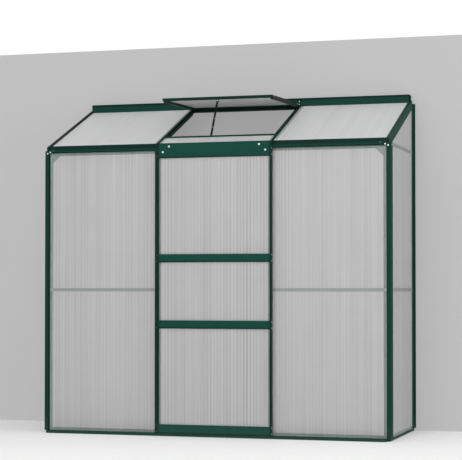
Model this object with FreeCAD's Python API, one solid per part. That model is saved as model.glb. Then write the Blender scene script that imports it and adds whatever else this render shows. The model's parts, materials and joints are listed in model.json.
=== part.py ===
import FreeCAD, Part
import math
import os

os.makedirs("parts", exist_ok=True)
Vector = FreeCAD.Vector

# Frame of this part, in millimetres: X runs along the wall, Y from the door towards the wall,
# Z up. The front faces of the corner posts are at Y = 0 and the ground is at Z = 0.

# Overall size
width = 1930.0
depth = 690.0
eave_height = 1566.0
roof_pitch = math.radians(22.5)

# Clearances: where pieces butt, beside a post, behind a seated face, and over a flat one
butt_gap = 0.5
post_gap = 1.0
seat_gap = 0.2
hair_gap = 0.1

# How far a cut runs past what it cuts, and how far rafters are drawn past their ends
overcut = 1.0
trim_length = 60.0

# Glazing sheet, a twin-wall sheet with open channels along its length
sheet_thickness = 4.0
sheet_skin = 0.6
sheet_rib = 0.6
channel_pitch = 12.0
sheet_play = 0.3
edge_gap = 1.2

# Walls of the aluminium sections
lip_wall = 1.8
flange_wall = 1.8
plate_wall = 2.0
wall_plate = 2.5

# Where the glazing lies, measured from the outer faces of the corner posts
front_glazing_inset = 12.0
gable_glazing_inset = 12.0

# Corner posts, with a lip outside the sheets and a flange inside them
post_face = 22.0
post_side = 44.0
post_chamfer = 3.0
post_lip = 5.0
post_flange = 21.0
gable_lip = 6.0
gable_flange = 18.0
foot_height = 14.0
post_top_drop = 26.0

# Wall posts
wall_post_side = 40.0
wall_post_face = 13.0
wall_post_drop = 48.1
wall_lip = 5.0
wall_flange = 20.0
wall_tab = 25.0
wall_hole_radius = 3.5
wall_hole_first = 300.0
wall_hole_spacing = 600.0

# Glazing bars and rafters
bay_width = 639.0
bar_face = 13.0
bar_web = 3.0
bar_flange = 44.0
bar_proud = 8.0
bar_depth = 30.0
cap_wall = 1.5
cap_drop = 7.0
sheet_below_cap = 5.2
roof_start = 14.0
rafter_depth = 34.0
end_rafter_depth = 42.0
end_rafter_groove = 12.0
end_rafter_cap = 19.0
end_rafter_flange = 22.0
rafter_line_depth = 1.0
rafter_line_width = 4.0
rafter_line_first = 8.0
rafter_line_spacing = 11.0
rafter_line_count = 2

# Front and side sills
sill_reach = 30.0
sill_lip_height = 13.0
sill_upstand = 30.0
sill_ledge = 8.0
sill_play = 2.5
sill_rear = 12.0
sill_rear_height = 16.0
side_sill_width = 30.0
anchor_inset = 32.0
anchor_first = 200.0
anchor_spacing = 300.0
anchor_radius = 4.0

# Eave gutter
eave_face = 39.0
eave_end_inset = 15.0
eave_lip = 4.0
gutter_depth = 26.0
gutter_reach = 40.0
eave_flange_drop = 28.0
eave_sheet_cover = 7.0

# Ridge bar against the wall
ridge_reach = 60.0
ridge_rise = 41.0
ridge_skirt_gap = 0.4
ridge_ledge = 20.0
ridge_ledge_height = 15.6
ridge_bite = 16.0
ridge_wall_flange = 54.0
ridge_tab = 30.0
ridge_tab_drop = 78.0
ridge_hole_drop = 67.0
ridge_hole_middle = 420.0
ridge_hole_inset = 91.6

# Joint strips between sheets
strip_height = 17.0
strip_web = 4.0
strip_wall = 1.4
middle_strip_height = 779.5
upper_strip_drop = 26.0
upper_strip_start = 90.0
gable_top_inset = 8.0

# Gusset plates and the bolts behind them
gusset_leg = 80.0
gusset_rise = 76.0
gusset_foot = 22.0
gusset_drop = 10.0
gusset_bolt_edge = 10.0
gusset_bolt_near = 34.0
gusset_bolt_far = 60.0
gusset_bolt_radius = 5.0
gusset_bolt_height = 3.6

# Bolt heads at the top of a corner post
post_bolt_radius = 4.2
post_bolt_inset = 15.5
post_bolt_drop = 14.0
eave_bolt_inset = 9.0
eave_bolt_drop = 7.0
side_bolt_drop = 10.0

# Sliding door
door_half = 318.0
door_shift = 14.0
door_end_gap = 5.0
door_front = 28.0
door_depth = 24.0
door_foot = 14.0
door_drop = 2.0
stile_face = 10.0
stile_back = 20.0
door_wall = 1.8
door_groove_inset = 9.7
door_bite = 7.0
shelf_wall = 1.6
header_height = 80.0
header_lip = 6.0
door_bar_height = 43.0
foot_bar_height = 48.0
upper_bar_centre = 948.0
lower_bar_centre = 595.0
port_radius = 3.2
port_inset = 4.6
port_offset = 16.0
header_port_drop = 55.0
foot_port_rise = 26.5
screw_radius = 1.9
screw_play = 0.05
screw_length = 14.0
screw_head_radius = 3.3
screw_head = 1.6

# Bolts of the door's header, and the plates behind it that carry the rollers
bolt_radius = 2.9
bolt_head_radius = 5.5
bolt_head = 2.4
header_bolt_spread = 284.8
header_bolt_drop = 48.0
header_bolt_length = 10.0
nut_radius = 5.4
nut_height = 4.4
hanger_margin = 12.0
hanger_room = 8.0

# Door rollers and their rail
roller_radius = 11.5
roller_width = 7.0
roller_spread = 250.5
roller_front = 13.0
roller_play = 0.05
roller_side_play = 0.4
axle_radius = 3.0
axle_play = 0.08
axle_shank = 9.5
axle_cap_radius = 4.6
axle_cap = 1.4
rail_inset = 18.0
rail_reach = 15.0
rail_rise = 7.45
rail_height = 18.0
rail_wall = 2.6
rail_plate = 1.6
rail_lip = 3.4
rail_room = 2.5
rail_room_below = 6.0
stop_length = 12.0
stop_height = 11.0
glide_length = 34.0
glide_spread = 255.0
glide_play = 1.0
glide_lift = 2.0
fin_wall = 1.5
fin_inset = 2.5
fin_height = 12.0

# Hinge of the roof vent: a bead on the vent turns in a socket on the ridge bar
hinge_offset = 10.0
hinge_lift = 11.1
bead_radius = 4.0
bead_play = 0.1
socket_wall = 2.9
hinge_plate = 2.0
hinge_plate_below = 8.0
hinge_plate_height = 28.0
hinge_ear = 11.0
hinge_link = 6.0
mouth_reach = 20.0
mouth_up = 9.5
mouth_down = 17.0
hinge_screw_radius = 1.5
hinge_screw_head_radius = 3.0
hinge_screw_edge = 6.0

# Roof vent, shown open
vent_half = 309.0
vent_open = math.radians(21.0)
vent_overhang = 3.5
vent_side_face = 14.0
vent_side_below = 17.4
vent_side_start = 10.5
vent_above = 4.0
vent_rail_below = 8.0
vent_rail_inset = 1.3
vent_rail_end = 3.0
hinge_web = 2.0
vent_top_start = 9.0
vent_top_end = 22.0
vent_sheet_start = 15.0
vent_sheet_below = 6.0
vent_bite = 6.0
drip_below = 13.0
vent_screw_radius = 2.6
vent_screw_head = 1.4
vent_screw_below = 1.0
vent_screw_first = 17.0
vent_screw_last = 8.0

# Bar that the vent shuts on, and the short sheet under it
slam_place = 145.5
slam_depth = 12.0
slam_top_below = 10.6
slam_wall = 1.4
slam_web = 2.2
slam_ledge = 8.0

# Stay of the vent, its rivet and bracket
stay_width = 11.0
stay_thickness = 2.5
stay_hole_radius = 3.0
stay_hole_first = 10.0
stay_hole_spacing = 48.0
stay_hole_count = 4
stay_lean = math.radians(14.0)
rivet_x = -5.0
rivet_inset = 13.0
rivet_below = 14.0
rivet_radius = 2.5
rivet_bore_play = 0.08
rivet_head_radius = 4.2
rivet_head = 1.2
rivet_play = 0.2
bracket_half = 14.0
bracket_wall = 1.8
bracket_start = 1.4
bracket_end = 1.0
ear_half = 8.0

# Peg on the slam bar that a hole of the stay drops over, drawn just clear of the stay
peg_gap = 0.6
peg_play = 0.5
peg_inset = 4.2
peg_below = 13.0
peg_length = 12.0
peg_foot_half = 9.0
peg_foot_wall = 1.2
peg_foot_below = 18.0

# Frame sizes worked out from those above
half = width / 2
far = width + depth + eave_height
gable_out = half - gable_glazing_inset
gable_in = gable_out - sheet_thickness
lip_out = gable_out + sheet_play + lip_wall
flange_in = gable_in - sheet_play - flange_wall
post_in = half - post_face
lip_front = front_glazing_inset - sheet_play - lip_wall
sheet_back = front_glazing_inset + sheet_thickness
flange_front = sheet_back + sheet_play
flange_back = flange_front + flange_wall
sill_end = post_in - sill_play
sill_back = flange_back + sill_rear
eave_end = post_in - butt_gap
post_top = eave_height - post_top_drop
bar_centre = bay_width / 2
web_side = bar_web / 2
cap_side = bar_face / 2
bar_flange_side = bar_flange / 2

# Roof sizes
pitch_cos = math.cos(roof_pitch)
pitch_sin = math.sin(roof_pitch)
pitch_tan = math.tan(roof_pitch)
cap_start = eave_height - cap_drop
ridge_front = depth - ridge_reach
ridge_top = cap_start + pitch_tan * ridge_front + ridge_rise
wall_post_front = depth - wall_post_side
wall_post_top = ridge_top - wall_post_drop
ridge_end = lip_out - wall_post_face - butt_gap
cap_lip = sheet_below_cap - sheet_play
sheet_low = sheet_below_cap + sheet_thickness
flange_low = sheet_low + sheet_play
rafter_run = (depth + trim_length) / pitch_cos
end_cap_in = lip_out - end_rafter_cap
groove_roof = end_rafter_depth - end_rafter_groove

# Heights at the eave
eave_bottom = eave_height - eave_face
gutter_floor = eave_height - gutter_depth
eave_flange_low = gutter_floor - eave_flange_drop
bar_low = sill_upstand + sheet_play
bar_high = eave_flange_low - sheet_play
sheet_top = gutter_floor - eave_sheet_cover
upper_strip_height = eave_height - upper_strip_drop
gusset_corner = eave_end
gusset_top = gutter_floor - gusset_drop

# Door sizes, with X measured from the middle of the door
door_top = eave_height - door_drop
door_back = door_front - door_depth
door_face = -door_front + door_wall
door_groove = -door_front + door_groove_inset
door_groove_back = door_groove + sheet_thickness + 2 * sheet_play
door_groove_end = door_groove_back + door_wall
door_bar_end = door_half - door_wall - seat_gap
plates_back = door_face + 2 * plate_wall
rail_half = post_in - rail_inset
rail_top = eave_bottom + rail_rise
roller_height = rail_top + roller_radius + roller_play
header_bolt_height = door_top - header_bolt_drop
port_depth = door_face + port_inset
fin_front = -door_back - fin_inset

# Low and high edges of the door's cross bars from the header down, and where their ports are
door_bars = [(door_top - header_height, door_top),
             (upper_bar_centre - door_bar_height / 2, upper_bar_centre + door_bar_height / 2),
             (lower_bar_centre - door_bar_height / 2, lower_bar_centre + door_bar_height / 2),
             (door_foot, door_foot + foot_bar_height)]
port_centres = [door_top - header_port_drop, upper_bar_centre, lower_bar_centre,
                door_foot + foot_port_rise]
header = 0
foot_bar = len(door_bars) - 1

# Vent sizes, measured down the slope from the hinge and out of the roof from the hinge's axis
hinge_y = ridge_front - hinge_offset
hinge_s = (hinge_y + hinge_lift * pitch_sin) / pitch_cos
hinge_z = cap_start + hinge_s * pitch_sin + hinge_lift * pitch_cos
hinge_plate_low = hinge_z - hinge_plate_below
slam_back = hinge_s - slam_place
slam_front = slam_back + slam_depth
vent_length = slam_front + vent_overhang
vent_inside = vent_half - vent_side_face
vent_rail_back = slam_back - vent_rail_inset
vent_groove_low = -vent_sheet_below - sheet_play
stay_side = stay_thickness / 2
rivet_back = slam_back - rivet_inset
ear_front = stay_side + rivet_play

# The stay runs from its rivet on the open vent to its peg, and leans over by stay_lean
rivet_down = rivet_back * math.cos(vent_open) + rivet_below * math.sin(vent_open)
rivet_out = rivet_back * math.sin(vent_open) - rivet_below * math.cos(vent_open)
stay_down = slam_back - peg_inset - rivet_down
stay_drop = rivet_out + peg_below
stay_reach = math.hypot(stay_down, stay_drop) / math.cos(stay_lean)
stay_tilt = vent_open - math.atan2(stay_down, stay_drop)

along_x = Vector(1, 0, 0)
along_y = Vector(0, 1, 0)
along_z = Vector(0, 0, 1)
origin = Vector(0, 0, 0)


def block(x0, x1, y0, y1, z0, z1):
    return Part.makeBox(x1 - x0, y1 - y0, z1 - z0, Vector(x0, y0, z0))


def joined(shapes):
    whole = shapes[0].multiFuse(shapes[1:]) if len(shapes) > 1 else shapes[0]
    return whole.removeSplitter()


def rod(radius, start, direction, length):
    return Part.makeCylinder(radius, length, start, direction)


# A round cut that starts at a face and goes through what lies behind it.
def bore(radius, start, direction, length):
    return rod(radius, start - direction * overcut, direction, length + 2 * overcut)


def prism(points, along):
    corners = [Vector(*point) for point in points]
    face = Part.Face(Part.makePolygon(corners + [corners[0]]))
    return face.extrude(Vector(*along))


def mirrored(shape):
    return shape.mirror(origin, along_x)


def save(shape, name):
    solids = shape.Solids
    result = solids[0] if len(solids) == 1 else Part.makeCompound(solids)
    result.exportStep("parts/" + name + ".step")


def save_pair(right_shape, name):
    save(right_shape, name + "_right")
    save(mirrored(right_shape), name + "_left")


# Both sides kept in one file, as separate solids.
def both_sides(right_shapes):
    return Part.makeCompound(right_shapes + [mirrored(shape) for shape in right_shapes])


# The door is drawn about its own middle and then moved to where it stands.
def at_door(shape):
    moved = shape.copy()
    moved.translate(Vector(door_shift, 0, 0))
    return moved


# The roof is drawn flat first: X across, Y up the slope, Z out of the roof, with the caps of
# the rafters at Z = 0. on_roof lays that drawing on the slope.
def on_roof(shape):
    laid = shape.copy()
    laid.rotate(origin, along_x, math.degrees(roof_pitch))
    laid.translate(Vector(0, 0, cap_start))
    return laid


# The vent is drawn flat too, with its hinge on the X axis, Y from the hinge down the slope and
# Z out of the roof. on_vent lays that drawing shut on the roof, and opened swings it up.
def on_vent(shape):
    laid = shape.mirror(origin, along_y)
    laid.translate(Vector(0, hinge_s, hinge_lift))
    return on_roof(laid)


def opened(shape):
    laid = on_vent(shape)
    laid.rotate(Vector(0, hinge_y, hinge_z), along_x, -math.degrees(vent_open))
    return laid


# The stay and its rivet are drawn upright about the rivet, with Y along it, and then tilted.
def at_stay(shape):
    tilted = shape.copy()
    tilted.rotate(origin, along_x, -math.degrees(stay_tilt))
    tilted.translate(Vector(rivet_x, rivet_back, -rivet_below))
    return tilted


# Height of a face of the roof that lies a given depth below the caps.
def roof_height(y, below):
    return cap_start + pitch_tan * y - below / pitch_cos


# A twin-wall sheet, drawn with its channels along Y from y0 to y1 and its top face at z1.
def sheet(x0, x1, y0, y1, z1):
    low = z1 - sheet_thickness
    wires = [Part.makePolygon([Vector(x0, y0, low), Vector(x1, y0, low), Vector(x1, y0, z1),
                               Vector(x0, y0, z1), Vector(x0, y0, low)])]
    inner_low = low + sheet_skin
    inner_high = z1 - sheet_skin
    count = max(1, int((x1 - x0 - sheet_rib) / channel_pitch))
    pitch = (x1 - x0 - sheet_rib) / count
    for index in range(count):
        left = x0 + sheet_rib + index * pitch
        right = left + pitch - sheet_rib
        wires.append(Part.makePolygon([Vector(left, y0, inner_low), Vector(right, y0, inner_low),
                                       Vector(right, y0, inner_high), Vector(left, y0, inner_high),
                                       Vector(left, y0, inner_low)]))
    face = Part.makeFace(Part.makeCompound(wires), "Part::FaceMakerBullseye")
    return face.extrude(Vector(0, y1 - y0, 0)).Solids[0]


# A sheet that stands upright in the front, with its channels upright and its face to the front.
def front_sheet(x0, x1, z0, z1, front):
    flat = sheet(x0, x1, z0, z1, -front)
    flat.rotate(origin, along_x, 90)
    return flat


# A sheet in the right gable, with its channels upright.
def gable_sheet(y0, y1, z0, z1):
    upright = front_sheet(y0, y1, z0, z1, 0)
    upright.rotate(origin, along_z, 90)
    upright.translate(Vector(gable_out, 0, 0))
    return upright


# Front sill: ground plate, dark front lip, guide fin for the door, ledge and upstand for the sheets.
def front_sill():
    end = sill_end
    upstand_end = post_in - post_flange - sheet_play
    pieces = [block(-end, end, -sill_reach, sill_back, 0, plate_wall)]
    pieces.append(block(-end, end, -sill_reach, -sill_reach + lip_wall, 0, sill_lip_height))
    pieces.append(block(-end, end, fin_front, fin_front + fin_wall, 0, fin_height))
    pieces.append(block(-end, end, lip_front, flange_back, sill_ledge - lip_wall, sill_ledge))
    pieces.append(block(-end, end, lip_front, lip_front + lip_wall, sill_ledge - lip_wall, foot_height))
    pieces.append(block(-end, end, flange_front, flange_back, 0, foot_height))
    pieces.append(block(-upstand_end, upstand_end, flange_front, flange_back, 0, sill_upstand))
    pieces.append(block(-end, end, sill_back - lip_wall, sill_back, 0, sill_rear_height))
    return joined(pieces)


# Right side sill, under the gable sheets and between the front sill and the wall.
def side_sill():
    wide_in = lip_out - side_sill_width
    narrow_in = sill_end + butt_gap
    front = butt_gap
    back = depth - butt_gap
    flange_out = flange_in + flange_wall
    rise_front = post_side + gable_flange + sheet_play
    rise_back = wall_post_front - wall_flange - sheet_play
    pieces = [block(narrow_in, lip_out, front, back, 0, plate_wall)]
    pieces.append(block(wide_in, lip_out, sill_back + butt_gap, back, 0, plate_wall))
    pieces.append(block(lip_out - lip_wall, lip_out, front, back, 0, foot_height))
    pieces.append(block(flange_in, lip_out, front, back, sill_ledge - lip_wall, sill_ledge))
    pieces.append(block(flange_in, flange_out, front, back, 0, foot_height))
    pieces.append(block(flange_in, flange_out, rise_front, rise_back, 0, sill_upstand))
    body = joined(pieces)
    for step in range(2):
        y = anchor_first + step * anchor_spacing
        body = body.cut(bore(anchor_radius, Vector(half - anchor_inset, y, 0), along_z, plate_wall))
    return body


# Right corner post: a chamfered tube with a groove for the front sheets and one for the gable.
def corner_post():
    height = post_top - foot_height
    wall = plate_wall
    shrink = wall * (math.sqrt(2) - 1)
    outer = [(post_in, 0, foot_height), (half - post_chamfer, 0, foot_height),
             (half, post_chamfer, foot_height), (half, post_side, foot_height),
             (post_in, post_side, foot_height)]
    inner = [(post_in + wall, wall, foot_height), (half - post_chamfer - shrink, wall, foot_height),
             (half - wall, post_chamfer + shrink, foot_height),
             (half - wall, post_side - wall, foot_height),
             (post_in + wall, post_side - wall, foot_height)]
    foot = foot_height + sheet_play
    fin_top = roof_height(post_side, end_rafter_depth) - butt_gap
    pieces = [prism(outer, (0, 0, height)).cut(prism(inner, (0, 0, height)))]
    pieces.append(block(post_in - post_lip, post_in, lip_front, lip_front + lip_wall, foot,
                        eave_bottom - sheet_play))
    pieces.append(block(post_in - post_flange, post_in, flange_front, flange_back, foot, bar_high))
    pieces.append(block(lip_out - lip_wall, lip_out, post_side, post_side + gable_lip, foot_height, fin_top))
    pieces.append(block(flange_in, flange_in + flange_wall, post_side, post_side + gable_flange,
                        foot_height, fin_top))
    return joined(pieces)


# Right wall post: a box against the wall, a groove for the gable sheets and tabs for wall screws.
def wall_post():
    box_in = lip_out - wall_post_face
    outer = block(box_in, lip_out, wall_post_front, depth, foot_height, wall_post_top)
    hollow = block(box_in + plate_wall, lip_out - plate_wall, wall_post_front + plate_wall,
                   depth - plate_wall, foot_height, wall_post_top)
    fin_top = roof_height(wall_post_front - post_flange, end_rafter_depth) - butt_gap
    tab_top = ridge_top - ridge_tab_drop - post_gap
    pieces = [outer.cut(hollow)]
    pieces.append(block(lip_out - lip_wall, lip_out, wall_post_front - wall_lip, wall_post_front,
                        foot_height, fin_top))
    pieces.append(block(flange_in, flange_in + flange_wall, wall_post_front - wall_flange,
                        wall_post_front, foot_height, fin_top))
    pieces.append(block(box_in - wall_tab, box_in, depth - wall_plate, depth, foot_height, tab_top))
    pieces.append(block(lip_out, half, depth - wall_plate, depth, foot_height, wall_post_top))
    body = joined(pieces)
    for step in range(3):
        z = wall_hole_first + step * wall_hole_spacing
        start = Vector(box_in - wall_tab / 2, depth, z)
        body = body.cut(bore(wall_hole_radius, start, -along_y, wall_plate))
    return body


# Right glazing bar between the door and the side bay.
def glazing_bar():
    proud = front_glazing_inset - bar_proud
    left = bar_centre - cap_side
    right = bar_centre + cap_side
    foot = foot_height + sheet_play
    head = eave_bottom - sheet_play
    lip_back = lip_front + lip_wall
    pieces = [block(left, right, proud, proud + plate_wall, foot, head)]
    pieces.append(block(left, left + lip_wall, proud, lip_back, foot, head))
    pieces.append(block(right - lip_wall, right, proud, lip_back, foot, head))
    pieces.append(block(bar_centre - web_side, bar_centre + web_side, proud, proud + bar_depth,
                        bar_low, bar_high))
    pieces.append(block(bar_centre - bar_flange_side, bar_centre + bar_flange_side, flange_front,
                        flange_back, bar_low, bar_high))
    return joined(pieces)


# Eave bar: the gutter, its front wall over the heads of the sheets, and a flange behind them.
def eave_bar():
    end = eave_end
    wall_end = half - eave_end_inset
    back_front = gutter_reach - plate_wall
    back_top = roof_height(back_front, sheet_low + seat_gap)
    pieces = [block(-end, end, 0, plate_wall, eave_bottom, eave_height)]
    pieces.append(block(-wall_end, wall_end, 0, plate_wall, post_top + butt_gap, eave_height))
    pieces.append(block(-wall_end, wall_end, 0, eave_lip, eave_height - lip_wall, eave_height))
    pieces.append(block(-end, end, 0, gutter_reach, gutter_floor, gutter_floor + plate_wall))
    pieces.append(block(-end, end, back_front, gutter_reach, gutter_floor, back_top))
    pieces.append(block(-end, end, flange_front, flange_back, eave_flange_low, gutter_floor))
    return joined(pieces)


# Rail on the eave bar that the door rollers run on.
def door_rail():
    track_low = rail_top - rail_wall
    pieces = [block(-rail_half, rail_half, -rail_plate, 0, eave_bottom, eave_bottom + rail_height)]
    pieces.append(block(-rail_half, rail_half, -rail_reach, 0, track_low, rail_top))
    pieces.append(block(-rail_half, rail_half, -rail_reach, -rail_reach + rail_plate, track_low,
                        rail_top + rail_lip))
    return joined(pieces)


# Right end stop of the rail, where the roller is when the door is at the end of its travel.
def rail_stop():
    start = half - door_end_gap - door_half + roller_spread + roller_radius + butt_gap
    side = rail_plate + seat_gap
    return block(start, start + stop_length, -rail_reach + side, -side, rail_top, rail_top + stop_height)


# Ridge bar: skirt over the heads of the roof sheets, a ledge under them, and a flange on the wall
# with tabs for wall screws.
def ridge_bar():
    end = ridge_end
    skirt_back = ridge_front + plate_wall
    skirt_low = roof_height(skirt_back, sheet_below_cap) + ridge_skirt_gap
    ledge_front = ridge_front + ridge_ledge
    ledge_top = roof_height(ledge_front, sheet_low + seat_gap)
    ledge_low = ledge_top - ridge_ledge_height
    pieces = [block(-end, end, ridge_front, skirt_back, skirt_low, ridge_top)]
    pieces.append(block(-end, end, ridge_front, depth, ridge_top - plate_wall, ridge_top))
    pieces.append(block(-end, end, depth - wall_plate, depth, ridge_top - ridge_wall_flange, ridge_top))
    pieces.append(block(-end, end, ledge_front, depth, ledge_low, ledge_low + plate_wall))
    pieces.append(block(-end, end, ledge_front, ledge_front + plate_wall, ledge_low, ledge_top))
    outer = ridge_end - ridge_hole_inset
    hole_places = (-outer, -ridge_hole_middle, ridge_hole_middle, outer)
    for x in hole_places:
        pieces.append(block(x - ridge_tab / 2, x + ridge_tab / 2, depth - wall_plate, depth,
                            ridge_top - ridge_tab_drop, ridge_top))
    body = joined(pieces)
    for x in hole_places:
        start = Vector(x, depth, ridge_top - ridge_hole_drop)
        body = body.cut(bore(wall_hole_radius, start, -along_y, wall_plate))
    return body


# Right end rafter, with the groove for the gable's top sheet below, the roof sheet's inside, and
# two drawn lines along its outer face.
def end_rafter():
    def length(x0, x1, z0, z1):
        return block(x0, x1, -trim_length, rafter_run, z0, z1)

    web = length(flange_in, lip_out, -groove_roof, 0)
    hollow = length(flange_in + plate_wall, lip_out - plate_wall, -groove_roof + plate_wall,
                    -sheet_low - plate_wall)
    for index in range(rafter_line_count):
        top = -rafter_line_first - index * rafter_line_spacing
        web = web.cut(length(lip_out - rafter_line_depth, lip_out + overcut, top - rafter_line_width, top))
    cap = length(end_cap_in, lip_out, -cap_wall, 0)
    outer_lip = length(lip_out - lip_wall, lip_out, -end_rafter_depth, 0)
    inner_lip = length(flange_in, flange_in + flange_wall, -end_rafter_depth, 0)
    flange = length(flange_in - end_rafter_flange, flange_in + flange_wall, -flange_low - flange_wall,
                    -flange_low)
    past_post = post_side + post_gap
    above_post = block(0, far, plate_wall + post_gap, past_post, post_top, far)
    beyond_post = block(0, far, past_post, wall_post_front - seat_gap, 0, far)
    behind_gutter = block(0, far, gutter_reach + sheet_play, ridge_front - sheet_play, 0, far)
    cap_edge = length(end_cap_in, end_cap_in + cap_wall, -cap_lip, 0)
    before_ridge = block(0, far, 0, ridge_front - seat_gap, 0, far)
    body = joined([on_roof(web.cut(hollow)), on_roof(joined([cap, cap_edge])).common(before_ridge)])
    lips = on_roof(joined([outer_lip, inner_lip])).common(beyond_post)
    shelf = on_roof(flange).common(behind_gutter)
    return joined([body.common(above_post), body.common(beyond_post), lips, shelf])


# Right middle rafter.
def middle_rafter():
    def length(x0, x1, z0, z1):
        return block(bar_centre + x0, bar_centre + x1, -trim_length, rafter_run, z0, z1)

    cap = joined([length(-cap_side, cap_side, -cap_wall, 0), length(-web_side, web_side, -cap_lip, 0),
                  length(-cap_side, cap_wall - cap_side, -cap_lip, 0),
                  length(cap_side - cap_wall, cap_side, -cap_lip, 0)])
    stem = joined([length(-web_side, web_side, -rafter_depth, 0),
                   length(-bar_flange_side, bar_flange_side, -flange_low - flange_wall, -flange_low)])
    stop = ridge_front - hinge_plate - seat_gap
    cap_part = on_roof(cap).common(block(0, far, roof_start, stop, 0, far))
    stem_part = on_roof(stem).common(block(0, far, gutter_reach + sheet_play, stop, 0, far))
    return joined([cap_part, stem_part])


# Bar across the middle bay that the vent shuts on, over the head of the short sheet.
def slam_bar():
    between_caps = bar_centre - cap_side - sheet_play
    between_webs = bar_centre - web_side - sheet_play
    between_flanges = bar_centre - bar_flange_side - butt_gap
    web_front = slam_back + slam_web
    top = -slam_top_below
    under_caps = -hinge_lift - cap_lip - seat_gap
    flange_top = -hinge_lift - flange_low
    skirt_low = -hinge_lift - sheet_below_cap + seat_gap
    pieces = [block(-between_caps, between_caps, slam_back, slam_front, top - slam_wall, top)]
    pieces.append(block(-between_caps, between_caps, slam_back, web_front, under_caps, top))
    pieces.append(block(-between_webs, between_webs, slam_back, web_front, flange_top + hair_gap, under_caps))
    pieces.append(block(-between_flanges, between_flanges, slam_back, web_front,
                        flange_top - flange_wall, flange_top + hair_gap))
    pieces.append(block(-between_flanges, between_flanges, slam_back, slam_front + slam_ledge,
                        flange_top - flange_wall, flange_top))
    pieces.append(block(-between_caps, between_caps, slam_front - plate_wall, slam_front, skirt_low, top))
    return on_vent(joined(pieces))


def roof_sheet_side():
    return on_roof(sheet(bar_centre + web_side + edge_gap, flange_in - edge_gap, roof_start / pitch_cos,
                         (ridge_front + ridge_bite) / pitch_cos, -sheet_below_cap))


def roof_sheet_short():
    side = bar_centre - web_side - edge_gap
    return on_roof(sheet(-side, side, roof_start / pitch_cos, slam_place - slam_web - edge_gap,
                         -sheet_below_cap))


# Front sheets of the right side bay, below and above the joint strip.
def bay_sheets():
    left = bar_centre + web_side + edge_gap
    right = post_in - edge_gap
    web = strip_web / 2
    return (front_sheet(left, right, sill_ledge, middle_strip_height - web, front_glazing_inset),
            front_sheet(left, right, middle_strip_height + web, sheet_top, front_glazing_inset))


# Joint strip of the right side bay: an H section that holds the edges of two sheets.
def front_strip():
    left = bar_centre + cap_side + sheet_play
    right = post_in - post_lip - sheet_play
    back_left = bar_centre + bar_flange_side + butt_gap
    back_right = post_in - post_flange - butt_gap
    low = middle_strip_height - strip_height / 2
    high = middle_strip_height + strip_height / 2
    web = strip_web / 2 - hair_gap
    front = front_glazing_inset - seat_gap
    back = sheet_back + seat_gap
    pieces = [block(left, right, front - strip_wall, front, low, high)]
    pieces.append(block(left, right, front - strip_wall, back, middle_strip_height - web,
                        middle_strip_height + web))
    pieces.append(block(back_left, back_right, back - hair_gap, back + strip_wall, low, high))
    return joined(pieces)


# A joint strip across the right gable from y0 to the wall post, at the given height.
def gable_strip(y0, height):
    low = height - strip_height / 2
    high = height + strip_height / 2
    web = strip_web / 2 - hair_gap
    outside = gable_out + seat_gap
    inside = gable_in - seat_gap
    y1 = wall_post_front - wall_lip - post_gap
    inner_start = max(y0, post_side + gable_flange + butt_gap)
    inner_stop = wall_post_front - wall_flange - butt_gap
    pieces = [block(outside, outside + strip_wall, y0, y1, low, high)]
    pieces.append(block(inside, outside + strip_wall, y0, y1, height - web, height + web))
    pieces.append(block(inside - strip_wall, inside + hair_gap, inner_start, inner_stop, low, high))
    return joined(pieces)


# Sheets of the right gable: lower, upper, and the top one that is cut to the roof's slope.
def gable_sheets():
    front = post_side + edge_gap
    back = wall_post_front - edge_gap
    web = strip_web / 2
    top_front = front + gable_top_inset
    low = gable_sheet(front, back, sill_ledge, middle_strip_height - web)
    high = gable_sheet(front, back, middle_strip_height + web, upper_strip_height - web)
    tall = gable_sheet(front, back, upper_strip_height + web, ridge_top)
    under = prism([(gable_in - overcut, top_front, 0), (gable_in - overcut, depth, 0),
                   (gable_in - overcut, depth, roof_height(depth, groove_roof + edge_gap)),
                   (gable_in - overcut, top_front, roof_height(top_front, groove_roof + edge_gap))],
                  (sheet_thickness + 2 * overcut, 0, 0))
    return low, high, tall.common(under)


# Right gusset plate, behind the flanges where the post meets the eave bar.
def gusset():
    low = gusset_top - gusset_rise
    return prism([(gusset_corner, flange_back, gusset_top),
                  (gusset_corner - gusset_leg, flange_back, gusset_top),
                  (gusset_corner - gusset_foot, flange_back, low), (gusset_corner, flange_back, low)],
                 (0, plate_wall, 0))


def gusset_bolts():
    bolts = []
    for distance in (gusset_bolt_near, gusset_bolt_far):
        for x, z in ((distance, gusset_bolt_edge), (gusset_bolt_edge, distance)):
            start = Vector(gusset_corner - x, flange_back + plate_wall, gusset_top - z)
            bolts.append(rod(gusset_bolt_radius, start, along_y, gusset_bolt_height))
    return bolts


# Bolt heads that show at the top of the right corner post: on the post, the eave and the side.
def post_bolts():
    post_start = Vector(half - post_bolt_inset, 0, post_top - post_bolt_drop)
    eave_start = Vector(post_in - eave_bolt_inset, 0, post_top - eave_bolt_drop)
    side_start = Vector(half, post_side / 2, post_top - side_bolt_drop)
    return [rod(post_bolt_radius, post_start, -along_y, bolt_head),
            rod(post_bolt_radius, eave_start, -along_y, bolt_head),
            rod(post_bolt_radius, side_start, along_x, bolt_head)]


# Heights of the two screw ports in a cross bar of the door.
def port_heights(index):
    return [port_centres[index] - port_offset, port_centres[index] + port_offset]


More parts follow.
